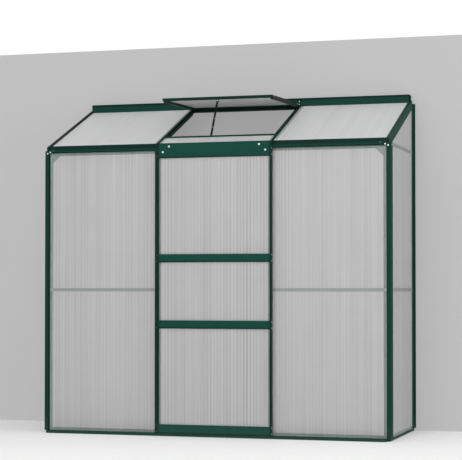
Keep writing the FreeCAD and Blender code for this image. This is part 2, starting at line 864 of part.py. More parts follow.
# Right stile of the door, drawn about the middle of the door.
def door_stile():
    out = door_half
    in_face = out - stile_face
    in_back = out - stile_back
    pieces = [block(out - door_wall, out, -door_front, -door_back, door_foot, door_top)]
    pieces.append(block(in_face, out, -door_front, door_face, door_foot, door_top))
    pieces.append(block(in_back, out, -door_back - door_wall, -door_back, door_foot, door_top))
    pieces.append(block(in_face, out, door_groove - door_wall, door_groove, door_foot, door_top))
    pieces.append(block(in_face, out, door_groove_back, door_groove_end, door_foot, door_top))
    body = joined(pieces)
    body = body.cut(block(in_back - overcut, out + overcut, -rail_reach - rail_room, overcut,
                          eave_bottom - rail_room_below, door_top + overcut))
    for index, (low, high) in enumerate(door_bars):
        body = body.cut(block(in_back - overcut, out - door_wall, door_face, -door_back + overcut,
                              low - sheet_play, high + sheet_play))
        for z in port_heights(index):
            body = body.cut(bore(screw_radius, Vector(out, port_depth, z), -along_x, door_wall))
    return body


# One cross bar of the door: a face plate, a groove for each sheet that it holds, two screw ports.
def door_bar(index):
    low, high = door_bars[index]
    end = door_bar_end
    pieces = [block(-end, end, door_face, door_face + plate_wall, low, high)]
    grooves = []
    if index != header:
        grooves.append((high - door_bite, high))
        shelf_top = high - door_bite
        pieces.append(block(-end, end, door_face, door_groove_end, shelf_top - shelf_wall, shelf_top))
    if index != foot_bar:
        grooves.append((low, low + door_bite))
        shelf_low = low + door_bite
        pieces.append(block(-end, end, door_face, door_groove_end, shelf_low, shelf_low + shelf_wall))
    for start, stop in grooves:
        pieces.append(block(-end, end, door_groove - door_wall, door_groove, start, stop))
        pieces.append(block(-end, end, door_groove_back, door_groove_end, start, stop))
    if index == header:
        pieces.append(block(-end, end, door_face, door_face + header_lip, high - shelf_wall, high))
    if index == foot_bar:
        pieces.append(block(-end, end, door_face, door_groove_end, low, low + shelf_wall))
    for z in port_heights(index):
        pieces.append(rod(port_radius, Vector(-end, port_depth, z), along_x, 2 * end))
    body = joined(pieces)
    for z in port_heights(index):
        body = body.cut(bore(screw_radius, Vector(-end, port_depth, z), along_x, 2 * end))
    for start, stop in grooves:
        body = body.cut(block(-end, end, door_groove, door_groove_back, start, stop))
    if index == header:
        body = body.cut(both_sides(hanger_holes() + [hanger_block(butt_gap, hanger_room)]))
    return body.removeSplitter()


# The door's sheets, upper, middle and lower: each stands on the bar under it.
def door_sheets():
    side = door_half - door_wall - edge_gap
    front = door_groove + sheet_play
    result = []
    for above in range(foot_bar):
        low = door_bars[above + 1][1] - door_bite
        high = door_bars[above][0] + door_bite - sheet_play
        result.append(front_sheet(-side, side, low, high, front))
    return result


# Screws through the right stile into the ports of the cross bars.
def door_screws():
    screws = []
    for index in range(len(door_bars)):
        for z in port_heights(index):
            start = Vector(door_half, port_depth, z)
            shank = rod(screw_radius - screw_play, start, -along_x, screw_length)
            head = rod(screw_head_radius, start, along_x, screw_head)
            screws.append(joined([shank, head]))
    return screws


# Room of the plate behind the header that carries a roller and stiffens the door's corner.
def hanger_block(play, thickness):
    back = door_face + plate_wall
    return block(roller_spread - hanger_margin - play, header_bolt_spread + hanger_margin + play,
                 back, back + thickness, header_bolt_height - hanger_margin - play,
                 roller_height + hanger_margin + play)


# Holes for the roller's axle bolt and the corner bolt.
def hanger_holes():
    return [bore(bolt_radius + hair_gap, Vector(roller_spread, door_face, roller_height), along_y,
                 hanger_room),
            bore(bolt_radius + hair_gap, Vector(header_bolt_spread, door_face, header_bolt_height), along_y,
                 hanger_room)]


def hanger_plate():
    return hanger_block(0, plate_wall).cut(Part.makeCompound(hanger_holes()))


# Head and shank of a bolt through the header, with the head in front of it.
def bolt(x, z, length):
    shank = rod(bolt_radius, Vector(x, door_face, z), along_y, length)
    head = rod(bolt_head_radius, Vector(x, door_face, z), -along_y, bolt_head)
    return joined([shank, head])


def nut(x, z):
    corners = []
    for index in range(6):
        angle = math.radians(60 * index)
        corners.append((x + nut_radius * math.cos(angle), plates_back, z + nut_radius * math.sin(angle)))
    solid = prism(corners, (0, nut_height, 0))
    return solid.cut(bore(bolt_radius, Vector(x, plates_back, z), along_y, nut_height))


# Axle bolt of the right roller: the nut clamps the plate, and the roller turns behind it.
def roller_axle():
    journal_start = door_face + axle_shank
    journal_end = -roller_front + roller_width + roller_side_play
    journal = rod(axle_radius, Vector(roller_spread, journal_start, roller_height), along_y,
                  journal_end - journal_start)
    cap = rod(axle_cap_radius, Vector(roller_spread, journal_end, roller_height), along_y, axle_cap)
    return joined([bolt(roller_spread, roller_height, axle_shank), journal, cap])


def roller():
    start = Vector(roller_spread, -roller_front, roller_height)
    wheel = rod(roller_radius, start, along_y, roller_width)
    return wheel.cut(bore(axle_radius + axle_play, start, along_y, roller_width))


# Block under the door that glides between the sill's lip and its fin.
def door_glide():
    return block(glide_spread - glide_length / 2, glide_spread + glide_length / 2,
                 -sill_reach + lip_wall + glide_play, fin_front - glide_play,
                 plate_wall + glide_lift, door_foot)


# Places of the hinge rail's screws, on its ears beside the vent.
def hinge_screw_spots():
    spots = []
    for side in (-1, 1):
        for rise in (hinge_screw_edge, hinge_plate_height - hinge_screw_edge):
            spots.append(Vector(side * (vent_half + hinge_ear / 2), ridge_front, hinge_plate_low + rise))
    return spots


# Hinge rail on the ridge bar: a C section that the vent's bead turns in.
def hinge_rail():
    centre = Vector(-vent_half, hinge_y, hinge_z)
    length = 2 * vent_half
    tube = rod(bead_radius + bead_play + socket_wall, centre, along_x, length)
    plate = block(-vent_half - hinge_ear, vent_half + hinge_ear, ridge_front - hinge_plate, ridge_front,
                  hinge_plate_low, hinge_plate_low + hinge_plate_height)
    link = block(-vent_half, vent_half, hinge_y, ridge_front - hinge_plate / 2,
                 hinge_z - hinge_link / 2, hinge_z + hinge_link / 2)
    body = joined([tube, plate, link]).cut(bore(bead_radius + bead_play, centre, along_x, length))
    mouth_x = -vent_half - overcut
    mouth_y = hinge_y - mouth_reach
    mouth = prism([(mouth_x, hinge_y, hinge_z), (mouth_x, mouth_y, hinge_z + mouth_up),
                   (mouth_x, mouth_y, hinge_z - mouth_down)], (length + 2 * overcut, 0, 0))
    body = body.cut(mouth)
    for spot in hinge_screw_spots():
        body = body.cut(bore(hinge_screw_radius + hair_gap, spot, -along_y, hinge_plate))
    return body


def hinge_rail_screws():
    screws = []
    for spot in hinge_screw_spots():
        shank = rod(hinge_screw_radius, spot, -along_y, hinge_plate)
        head = rod(hinge_screw_head_radius, spot - along_y * hinge_plate, -along_y, screw_head)
        screws.append(joined([shank, head]))
    return screws


# Room for the vent's sheet in the bars round it.
def vent_groove(x0, x1, y0, y1):
    return block(x0, x1, y0, y1, vent_groove_low, vent_groove_low + sheet_thickness + 2 * sheet_play)


# Top bar of the vent, with the bead that turns in the hinge rail.
def vent_hinge_bar():
    side = vent_inside - seat_gap
    bead_half = vent_half - butt_gap
    bead = rod(bead_radius, Vector(-bead_half, 0, 0), along_x, 2 * bead_half)
    web = block(-side, side, 0, vent_top_start + overcut, -hinge_web / 2, hinge_web / 2)
    plate = block(-side, side, vent_top_start, vent_top_end, -vent_rail_below, vent_above)
    groove = vent_groove(-side - overcut, side + overcut, vent_sheet_start, vent_top_end + overcut)
    return opened(joined([bead, web, plate.cut(groove)]))


# Right side bar of the vent, hollow under the sheet's groove.
def vent_side():
    stop = vent_rail_back - seat_gap
    body = block(vent_inside, vent_half, vent_side_start, stop, -vent_side_below, vent_above)
    body = body.cut(vent_groove(vent_inside - overcut, vent_inside + vent_bite + overcut,
                                vent_side_start - overcut, stop + overcut))
    hollow = block(vent_inside + plate_wall, vent_half - plate_wall, vent_side_start - overcut,
                   stop + overcut, -vent_side_below + plate_wall, vent_groove_low - plate_wall)
    return opened(body.cut(hollow))


# Front rail of the vent, open below, with a drip lip at its front.
def vent_front_rail():
    back = vent_rail_back
    lip_back = vent_length - plate_wall
    inside = vent_half - vent_rail_end
    body = block(-vent_half, vent_half, back, vent_length, -vent_rail_below, vent_above)
    body = body.cut(vent_groove(-inside, inside, back - overcut, back + vent_bite))
    body = body.cut(block(-inside, inside, back + vent_bite + shelf_wall, lip_back,
                          -vent_rail_below - overcut, vent_above - plate_wall))
    drip = block(-inside, inside, lip_back, vent_length, -drip_below, 0)
    return opened(joined([body, drip]))


def vent_sheet():
    side = vent_inside + vent_bite
    return opened(sheet(-side, side, vent_sheet_start + butt_gap, vent_rail_back + vent_bite - butt_gap,
                        -vent_sheet_below + sheet_thickness))


# Screw heads on the sides of the vent, near its corners.
def vent_screws():
    screws = []
    for y in (vent_screw_first, slam_back - vent_screw_last):
        spot = Vector(vent_half, y, -vent_screw_below)
        screws.append(rod(vent_screw_radius, spot, along_x, vent_screw_head))
    return opened(both_sides(screws))


# Bracket under the vent's front rail, with an ear for the stay's rivet.
def stay_bracket():
    plate = block(rivet_x - bracket_half, rivet_x + bracket_half, rivet_back + ear_front + bracket_start,
                  slam_front + bracket_end, -vent_rail_below - bracket_wall, -vent_rail_below)
    ear = block(-ear_half, ear_half, ear_front, ear_front + bracket_wall, -ear_half,
                rivet_below - vent_rail_below - bracket_wall / 2)
    hole = bore(rivet_radius + rivet_bore_play, Vector(0, ear_front, 0), along_y, bracket_wall)
    return opened(joined([plate, at_stay(ear.cut(hole))]))


def stay_rivet():
    front = ear_front + bracket_wall
    shank = rod(rivet_radius, Vector(0, -ear_front, 0), along_y, front + ear_front)
    back_head = rod(rivet_head_radius, Vector(0, -ear_front, 0), -along_y, rivet_head)
    front_head = rod(rivet_head_radius, Vector(0, front, 0), along_y, rivet_head)
    return opened(at_stay(joined([shank, back_head, front_head])))


# The stay: a flat bar with holes that hangs from its rivet, leaning over to its peg.
def vent_stay():
    round_end = stay_width / 2
    low = stay_reach + stay_hole_first - round_end
    bar = block(-round_end, round_end, -stay_side, stay_side, -low, 0)
    top_end = rod(round_end, Vector(0, -stay_side, 0), along_y, stay_thickness)
    foot_end = rod(round_end, Vector(0, -stay_side, -low), along_y, stay_thickness)
    body = joined([bar, top_end, foot_end])
    body = body.cut(bore(rivet_radius + rivet_bore_play, Vector(0, -stay_side, 0), along_y, stay_thickness))
    for index in range(stay_hole_count):
        centre = Vector(0, -stay_side, index * stay_hole_spacing - stay_reach)
        body = body.cut(bore(stay_hole_radius, centre, along_y, stay_thickness))
    body.rotate(origin, along_y, math.degrees(stay_lean))
    return opened(at_stay(body))


# Peg on the back of the slam bar, in line with the stay's end hole.
def stay_peg():
    peg = rod(stay_hole_radius - peg_play, Vector(0, stay_side + peg_gap, -stay_reach), along_y, peg_length)
    peg.rotate(origin, along_y, math.degrees(stay_lean))
    beyond = on_vent(block(-far, far, slam_back, slam_back + far, -far, far))
    foot_x = rivet_x - math.sin(stay_lean) * stay_reach
    foot = block(foot_x - peg_foot_half, foot_x + peg_foot_half, slam_back - peg_foot_wall, slam_back,
                 -peg_foot_below, -slam_top_below - seat_gap)
    return joined([opened(at_stay(peg)).cut(beyond), on_vent(foot)])


save(front_sill(), "front_sill")
save(eave_bar(), "eave_bar")
save(door_rail(), "door_rail")
save(ridge_bar(), "ridge_bar")
save(slam_bar(), "slam_bar")
save(hinge_rail(), "hinge_rail")
save(stay_peg(), "stay_peg")
save_pair(side_sill(), "side_sill")
save_pair(corner_post(), "corner_post")
save_pair(wall_post(), "wall_post")
save_pair(glazing_bar(), "glazing_bar")
save_pair(end_rafter(), "end_rafter")
save_pair(middle_rafter(), "middle_rafter")
save(both_sides([gusset()]), "gusset_plates")
save(both_sides([rail_stop()]), "rail_stops")
save(both_sides([front_strip()]), "front_strips")
save(both_sides([gable_strip(post_side + gable_lip + post_gap, middle_strip_height),
                 gable_strip(upper_strip_start, upper_strip_height)]), "gable_strips")
save(both_sides(post_bolts() + gusset_bolts()), "frame_bolts")
save(Part.makeCompound(hinge_rail_screws()), "hinge_rail_screws")
print("frame")

bay_lower, bay_upper = bay_sheets()
save(both_sides([bay_lower]), "bay_sheets_lower")
save(both_sides([bay_upper]), "bay_sheets_upper")
gable_lower, gable_upper, gable_top = gable_sheets()
save(both_sides([gable_lower]), "gable_sheets_lower")
save(both_sides([gable_upper]), "gable_sheets_upper")
save(both_sides([gable_top]), "gable_sheets_top")
save_pair(roof_sheet_side(), "roof_sheet")
save(roof_sheet_short(), "roof_sheet_short")
print("sheets")

save(at_door(door_stile()), "door_stile_right")
save(at_door(mirrored(door_stile())), "door_stile_left")
for index, name in enumerate(("door_header", "door_bar_upper", "door_bar_lower", "door_foot_bar")):
    save(at_door(door_bar(index)), name)
for shape, name in zip(door_sheets(), ("door_sheet_upper", "door_sheet_middle", "door_sheet_lower")):
    save(at_door(shape), name)
header_bolt = bolt(header_bolt_spread, header_bolt_height, header_bolt_length)
nuts = [nut(header_bolt_spread, header_bolt_height), nut(roller_spread, roller_height)]
save(at_door(both_sides(door_screws())), "door_screws")
save(at_door(both_sides([hanger_plate()])), "hanger_plates")
save(at_door(both_sides([header_bolt])), "door_corner_bolts")
save(at_door(both_sides(nuts)), "door_nuts")
save(at_door(both_sides([roller_axle()])), "roller_axles")
save(at_door(roller()), "roller_right")
save(at_door(mirrored(roller())), "roller_left")
save(at_door(both_sides([door_glide()])), "door_glides")
print("door")

save(vent_hinge_bar(), "vent_hinge_bar")
save_pair(vent_side(), "vent_side")
save(vent_front_rail(), "vent_front_rail")
save(vent_sheet(), "vent_sheet")
save(vent_screws(), "vent_screws")
save(stay_bracket(), "stay_bracket")
save(stay_rivet(), "stay_rivet")
save(vent_stay(), "vent_stay")
print("vent")
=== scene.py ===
import json
import math
import bpy
import bmesh
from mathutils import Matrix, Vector


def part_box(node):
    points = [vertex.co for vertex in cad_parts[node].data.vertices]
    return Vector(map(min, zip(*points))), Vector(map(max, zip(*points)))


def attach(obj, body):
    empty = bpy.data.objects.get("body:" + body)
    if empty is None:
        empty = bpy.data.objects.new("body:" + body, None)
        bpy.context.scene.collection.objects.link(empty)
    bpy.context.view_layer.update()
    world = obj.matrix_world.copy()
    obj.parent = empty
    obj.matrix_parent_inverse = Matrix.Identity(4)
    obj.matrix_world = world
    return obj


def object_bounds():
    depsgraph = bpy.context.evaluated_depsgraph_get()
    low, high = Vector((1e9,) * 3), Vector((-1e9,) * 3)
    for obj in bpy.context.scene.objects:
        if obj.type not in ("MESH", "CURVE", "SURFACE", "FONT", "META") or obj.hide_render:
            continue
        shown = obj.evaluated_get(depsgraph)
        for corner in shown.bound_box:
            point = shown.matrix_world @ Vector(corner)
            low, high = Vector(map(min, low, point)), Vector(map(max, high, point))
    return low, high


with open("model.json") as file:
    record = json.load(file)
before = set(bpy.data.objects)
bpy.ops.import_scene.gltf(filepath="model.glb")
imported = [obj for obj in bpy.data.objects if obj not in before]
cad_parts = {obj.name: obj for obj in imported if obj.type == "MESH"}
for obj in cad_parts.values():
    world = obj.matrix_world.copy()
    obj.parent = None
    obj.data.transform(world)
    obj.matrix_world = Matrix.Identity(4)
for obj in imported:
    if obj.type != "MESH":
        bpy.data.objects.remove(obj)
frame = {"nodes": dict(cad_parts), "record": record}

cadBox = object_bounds()
nodes = frame["nodes"]
print("frame loaded:", len(nodes), "nodes")


# Shader maths: a socket that adds nodes when it is used in an expression.
class Wire:
    def __init__(self, tree, socket):
        self.tree = tree
        self.socket = socket

    def maths(self, operation, other=None, swapped=False):
        first, second = (1, 0) if swapped else (0, 1)
        inputs = {first: self}
        if other is not None:
            inputs[second] = other
        return addNode(self.tree, "Math", {"operation": operation}, inputs)

    def __add__(self, other): return self.maths("ADD", other)
    def __radd__(self, other): return self.maths("ADD", other)
    def __sub__(self, other): return self.maths("SUBTRACT", other)
    def __rsub__(self, other): return self.maths("SUBTRACT", other, True)
    def __mul__(self, other): return self.maths("MULTIPLY", other)
    def __rmul__(self, other): return self.maths("MULTIPLY", other)
    def __truediv__(self, other): return self.maths("DIVIDE", other)
    def __rtruediv__(self, other): return self.maths("DIVIDE", other, True)
    def above(self, other): return self.maths("GREATER_THAN", other)
    def below(self, other): return self.maths("LESS_THAN", other)
    def sine(self): return self.maths("SINE")
    def size(self): return self.maths("ABSOLUTE")
    def least(self, other): return self.maths("MINIMUM", other)


def connect(tree, value, socket):
    if isinstance(value, Wire):
        tree.links.new(value.socket, socket)
    else:
        socket.default_value = value


def addNode(tree, kind, settings, inputs, output=0):
    made = tree.nodes.new("ShaderNode" + kind)
    for key, value in settings.items():
        setattr(made, key, value)
    for key, value in inputs.items():
        connect(tree, value, made.inputs[key])
    return Wire(tree, made.outputs[output])


# One material, with its Principled shader and a short way to add nodes.
class Finish:
    def __init__(self, name):
        self.material = bpy.data.materials.new(name)
        self.material.use_nodes = True
        self.tree = self.material.node_tree
        self.shader = self.tree.nodes["Principled BSDF"]
        self.place = self.node("TexCoord", {}, {}, "Object")

    def node(self, kind, settings, inputs, output=0):
        return addNode(self.tree, kind, settings, inputs, output)

    def axis(self, index):
        return self.node("SeparateXYZ", {}, {"Vector": self.place}, index)

    def noise(self, scale, detail=2.0, stretch=(1, 1, 1)):
        spread = self.node("Mapping", {}, {"Vector": self.place, "Scale": stretch})
        return self.node("TexNoise", {}, {"Vector": spread, "Scale": scale, "Detail": detail})

    def blend(self, factor, first, second):
        return self.node("Mix", {"data_type": "RGBA"}, {0: factor, 6: first, 7: second}, 2)

    def set(self, **values):
        for key, value in values.items():
            connect(self.tree, value, self.shader.inputs[key.replace("_", " ")])

    def gloss(self, level):
        self.shader.inputs["Specular IOR Level"].default_value = level

    def bump(self, height, strength, distance):
        made = self.node("Bump", {}, {"Height": height, "Strength": strength, "Distance": distance})
        connect(self.tree, made, self.shader.inputs["Normal"])


# A colour as it shows on a screen, turned into the linear one that a shader takes.
def tone(red, green, blue):
    levels = []
    for level in (red, green, blue):
        share = level / 255
        levels.append(share / 12.92 if share <= 0.04045 else ((share + 0.055) / 1.055) ** 2.4)
    return (*levels, 1.0)


# Dark green powder coat: satin, with a faint cloudiness, fine peel, a little dust low down, and painted
# shade, in the coat's dark colour, along the rims of the bars that are named. Lengths are in metres.
coat = {"roughness": 0.48, "cloudRough": 0.08, "dustRough": 0.5, "gloss": 0.07,
        "cloudScale": 9.0, "clouds": 0.5, "streakScale": 40.0, "streakStretch": (1, 1, 0.08), "streaks": 0.25,
        "peelScale": 900.0, "peel": 0.05, "peelHeight": 0.0004,
        "dust": tone(104, 116, 106), "dustTop": 0.1, "dusty": 0.12, "dustScale": 160.0, "dustSpots": 0.8,
        "dustLeast": 0.3, "rimShade": 0.75, "dark": tone(3, 20, 16)}
# Copies of the one green powder coat that differ in tone for how light falls: the posts, the edge bars and
# the left end rafter darker, painted shade; the door bars lighter, painted light; the vent's side bars greyer
# as light falls on them, painted light.
frameCoat = {"colour": tone(8, 50, 40), "faded": tone(13, 57, 47)}
postShadeCoat = {"colour": tone(7, 45, 36), "faded": tone(11, 51, 42)}
doorLitCoat = {"colour": tone(9, 57, 47), "faded": tone(13, 63, 53)}
ventLitCoat = {"colour": tone(36, 44, 43), "faded": tone(46, 53, 52)}
edgeShadeCoat = {"colour": tone(5, 36, 29), "faded": tone(9, 42, 35)}
shadeCoat = {"colour": tone(3, 15, 12), "faded": tone(6, 21, 17), "outerFace": 0.0006}
# Bars with painted shade along their rims: top and bottom widths in metres.
doorShadeRims = [("door_header", 0.002, 0.006), ("door_bar_upper", 0.0, 0.007), ("door_bar_lower", 0.0, 0.007),
            ("door_foot_bar", 0.0, 0.006)]
ridgeShadeRims = [("ridge_bar", 0.012, 0.0)]


# 1 in the top or bottom few millimetres of a node, where painted shade darkens a bar's rim.
def rimShade(finish, name, top, bottom):
    low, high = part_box(name)
    up = finish.axis(2)
    return up.above(high[2] - top) * up.below(high[2]) + up.above(low[2]) * up.below(low[2] + bottom)


def greenCoat(name, look, shadeRims=()):
    finish = Finish(name)
    cloud = finish.noise(coat["cloudScale"], 3.0)
    streak = finish.noise(coat["streakScale"], 2.0, coat["streakStretch"])
    body = finish.blend(cloud * coat["clouds"] + streak * coat["streaks"], look["colour"], look["faded"])
    if "outerFace" in look:  # the left end rafter's outer face is lit, so it keeps the frame's green
        outside = finish.axis(0).below(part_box("end_rafter_left")[0][0] + look["outerFace"])
        body = finish.blend(outside, body, frameCoat["colour"])
    for bar, top, bottom in shadeRims:
        # Painted shade: darker along the top and bottom rims of the named bars.
        body = finish.blend(rimShade(finish, bar, top, bottom) * coat["rimShade"], body, coat["dark"])
    height = finish.axis(2)
    low = finish.node("MapRange", {}, {"Value": height, "From Min": coat["dustTop"], "From Max": 0.0})
    spots = finish.noise(coat["dustScale"], 2.0) * coat["dustSpots"] + coat["dustLeast"]
    dusty = low * coat["dusty"] * spots
    finish.set(Base_Color=finish.blend(dusty, body, coat["dust"]))
    finish.set(Roughness=coat["roughness"] + cloud * coat["cloudRough"] + dusty * coat["dustRough"])
    finish.gloss(coat["gloss"])
    finish.bump(finish.noise(coat["peelScale"], 1.0), coat["peel"], coat["peelHeight"])
    return finish.material


# Twin-wall sheet: milky, drawn along its channels, which show as fine even lines, stronger in
# some patches. What lies against its back shows through, such as a flange, and what stands far
# behind it does not.
sheetLook = {"linePitch": 0.0183, "patchiness": 5.0,
             "streakScale": 75.0, "bandScale": 26.0, "patchScale": 8.0, "along": 0.4,
             "gloss": 0.3, "roughness": 0.395, "streakRough": 0.15, "bandAlpha": 0.4, "streakAlpha": 0.06,
             "behind": tone(150, 172, 162), "tint": 0.6, "milk": 1.0, "glow": 0.003}
# One polycarbonate, in copies that differ in tone for how light falls: the roof and vent lighter, painted
# light; the door and gable a little darker, painted shade.
wallLook = {"dark": tone(184, 184, 184), "light": tone(217, 217, 217), "alpha": 0.58, "touching": 0.3,
            "lines": 0.12, "streaks": 0.35, "bands": 0.25}
doorShadedLook = {"dark": tone(180, 180, 180), "light": tone(213, 213, 213), "alpha": 0.58, "touching": 0.3,
            "lines": 0.17, "streaks": 0.35, "bands": 0.25}
gableShadedLook = {"dark": tone(178, 178, 179), "light": tone(211, 211, 212), "alpha": 0.58, "touching": 0.3,
             "lines": 0.24, "streaks": 0.9, "bands": 0.25}
roofLitLook = {"dark": tone(223, 225, 224), "light": tone(241, 243, 242), "alpha": 0.78, "touching": 0.6,
            "lines": 0.2, "streaks": 0.35, "bands": 0.08}
ventLitLook = {"dark": tone(220, 222, 221), "light": tone(238, 240, 239), "alpha": 0.5, "touching": 0.4,
            "lines": 0.2, "streaks": 0.35, "bands": 0.08}
gussetWidth = 0.08


# Lowest and highest place of a node along each axis.
def edges(name):
    low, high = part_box(name)
    return [(low[axis], high[axis]) for axis in range(3)]


# 1 where a flange, sill or gusset touches the back of a side bay's sheet.
def frontContact(finish):
    post = edges("corner_post_right")
    across, up = finish.axis(0).size(), finish.axis(2)
    eaveFlange = edges("eave_bar")[2][0]
    sill = edges("front_sill")[2][1]
    plates = edges("gusset_plates")
    gussetHeight = plates[2][1] - plates[2][0]
    corner = (across - plates[0][1]) / gussetWidth + (up - plates[2][1]) / gussetHeight
    return (across.above(post[0][0]) + up.below(sill) + up.above(eaveFlange) + corner.above(-1.0)).least(1.0)


def doorContact(finish):
    across = finish.axis(0)
    left, right = edges("door_stile_left")[0][1], edges("door_stile_right")[0][0]
    return across.below(left) + across.above(right)


def gableContact(finish):
    post, rear = edges("corner_post_right"), edges("wall_post_right")
    along, up = finish.axis(1), finish.axis(2)
    sill = edges("front_sill")[2][1]
    return (along.below(post[1][1]) + along.above(rear[1][0]) + up.below(sill)).least(1.0)


def roofContact(finish):
    bar = edges("middle_rafter_right")
    across = finish.axis(0).size()
    return (across.above(bar[0][0]) * across.below(bar[0][1])).least(1.0)


# The lines lie side by side on one axis, and run along the others that are given.
def twinWall(name, look, across, along, contact):
    finish = Finish(name)

    def drawn(scale, detail):
        stretch = [sheetLook["along"] if axis in along else scale for axis in range(3)]
        return finish.noise(1.0, detail, tuple(stretch)) - 0.5

    streaks = drawn(sheetLook["streakScale"], 2.0)
    bands = drawn(sheetLook["bandScale"], 2.0)
    patches = drawn(sheetLook["patchScale"], 1.0)
    wave = (finish.axis(across) * (2 * math.pi / sheetLook["linePitch"])).sine()
    lines = wave * (patches * sheetLook["patchiness"] + 1.0)
    shade = lines * look["lines"] + streaks * look["streaks"] + bands * look["bands"] + 0.5
    body = finish.blend(shade, look["dark"], look["light"])
    touched = contact(finish)
    finish.set(Base_Color=finish.blend(touched * sheetLook["tint"], body, sheetLook["behind"]))
    clearer = touched * (look["touching"] - look["alpha"])
    uneven = bands * (look["bands"] * sheetLook["bandAlpha"]) + streaks * sheetLook["streakAlpha"]
    finish.set(Alpha=look["alpha"] + clearer + uneven)
    finish.set(Roughness=sheetLook["roughness"] + streaks * sheetLook["streakRough"])
    finish.gloss(sheetLook["gloss"])
    finish.shader.inputs["Subsurface Weight"].default_value = sheetLook["milk"]
    finish.shader.inputs["Subsurface Radius"].default_value = (1.0, 1.0, 1.0)
    finish.shader.inputs["Subsurface Scale"].default_value = sheetLook["glow"]
    return finish.material


stripLook = {"colour": tone(146, 152, 149), "alpha": 0.6, "roughness": 0.3, "uneven": 0.1,
             "lineStretch": (2.0, 2.0, 900.0), "bump": 0.1, "height": 0.0003}


def clearStrip():
    finish = Finish("jointStrip")
    lines = finish.noise(1.0, 1.0, stripLook["lineStretch"])
    uneven = lines * stripLook["uneven"]
    finish.set(Base_Color=stripLook["colour"], Alpha=stripLook["alpha"] + uneven)
    finish.set(Roughness=stripLook["roughness"] + uneven)
    finish.bump(lines, stripLook["bump"], stripLook["height"])
    return finish.material


zincLook = {"colour": tone(214, 216, 215), "clouded": tone(186, 190, 191), "cloudScale": 120.0,
            "grainScale": 700.0, "grainDetail": 3.0, "metallic": 0.55, "gloss": 0.5, "roughness": 0.28,
            "grainRough": 0.18, "bump": 0.1}
paintLook = {"colour": tone(4, 4, 5), "clouded": tone(10, 10, 11), "cloudScale": 30.0,
             "grainScale": 500.0, "grainDetail": 3.0, "metallic": 0.0, "gloss": 0.12, "roughness": 0.45,
             "grainRough": 0.15, "bump": 0.12}
nylonLook = {"colour": tone(34, 35, 36), "clouded": tone(48, 49, 50), "cloudScale": 900.0,
             "grainScale": 900.0, "grainDetail": 2.0, "metallic": 0.0, "gloss": 0.5, "roughness": 0.5,
             "grainRough": 0.15, "bump": 0.15}
grainHeight = 0.0002


def grained(name, look):
    finish = Finish(name)
    grain = finish.noise(look["grainScale"], look["grainDetail"])
    cloud = finish.noise(look["cloudScale"], 2.0)
    finish.set(Base_Color=finish.blend(cloud, look["colour"], look["clouded"]), Metallic=look["metallic"])
    finish.set(Roughness=look["roughness"] + grain * look["grainRough"])
    finish.gloss(look["gloss"])
    finish.bump(grain, look["bump"], grainHeight)
    return finish.material


finishes = {"green_frame": greenCoat("frameGreen", frameCoat), "strip": clearStrip(),
            "zinc_steel": grained("brightZinc", zincLook), "black_steel": grained("blackPaint", paintLook),
            "nylon": grained("mouldedNylon", nylonLook)}
# Painted light and shade: lit and shaded copies of the green coat, and painted shade on bar rims.
postShadeGreen = greenCoat("postShadeGreen", postShadeCoat)
barLitAndRimShadeGreen = greenCoat("barLitAndRimShadeGreen", doorLitCoat, doorShadeRims)
ridgeRimShadeGreen = greenCoat("ridgeRimShadeGreen", frameCoat, ridgeShadeRims)
ventLitGreen = greenCoat("ventLitGreen", ventLitCoat)
edgeShadeGreen = greenCoat("edgeShadeGreen", edgeShadeCoat)
shadeGreen = greenCoat("shadeGreen", shadeCoat)
frontSheet = twinWall("frontSheet", wallLook, 0, (2,), frontContact)
sheetOf = {"roof": twinWall("roofLitSheet", roofLitLook, 0, (1, 2), roofContact),
           "vent": twinWall("ventLitSheet", ventLitLook, 0, (1, 2), roofContact),
           "gable": twinWall("gableShadedSheet", gableShadedLook, 1, (2,), gableContact),
           "door": twinWall("doorShadedSheet", doorShadedLook, 0, (2,), doorContact)}
greenOf = {"ridge_bar": ridgeRimShadeGreen, "end_rafter_left": shadeGreen, "vent_side_left": ventLitGreen,
           "vent_side_right": ventLitGreen, "corner_post_left": postShadeGreen, "corner_post_right": postShadeGreen,
           "eave_bar": edgeShadeGreen, "glazing_bar_left": edgeShadeGreen, "glazing_bar_right": edgeShadeGreen,
           "middle_rafter_left": edgeShadeGreen, "middle_rafter_right": edgeShadeGreen, "vent_front_rail": edgeShadeGreen,
           "door_stile_left": edgeShadeGreen, "door_stile_right": edgeShadeGreen, "door_header": barLitAndRimShadeGreen,
           "door_bar_upper": barLitAndRimShadeGreen, "door_bar_lower": barLitAndRimShadeGreen, "door_foot_bar": barLitAndRimShadeGreen}
slotOf = {part["node"]: part["material_slot"] for part in frame["record"]["subparts"]}
for name, shown in nodes.items():
    slot = slotOf[name]
    if slot == "sheet":
        chosen = sheetOf.get(name.split("_")[0], frontSheet)
    else:
        chosen = greenOf.get(name, finishes[slot])
    shown.data.materials.clear()
    shown.data.materials.append(chosen)
print("finishes set")

# Pan heads with a cross recess, one on each fastener's flat CAD head, which is as wide. Sizes are
# shares of the head's radius, but for the last three, which are in metres.
head = {"rings": 8, "segments": 32, "rise": 0.24, "recess": 0.6, "arm": 0.11, "depth": 0.19, "cover": 0.98,
        "seed": 7, "frontBefore": 0.01, "roundWithin": 0.0003, "clearOfEnd": 0.001}
fasteners = {"frame_bolts": ("frame", 1), "hinge_rail_screws": ("frame", 1), "door_corner_bolts": ("door", 1),
             "roller_axles": ("door", 1), "door_screws": ("door", 0), "vent_screws": ("vent", 0)}


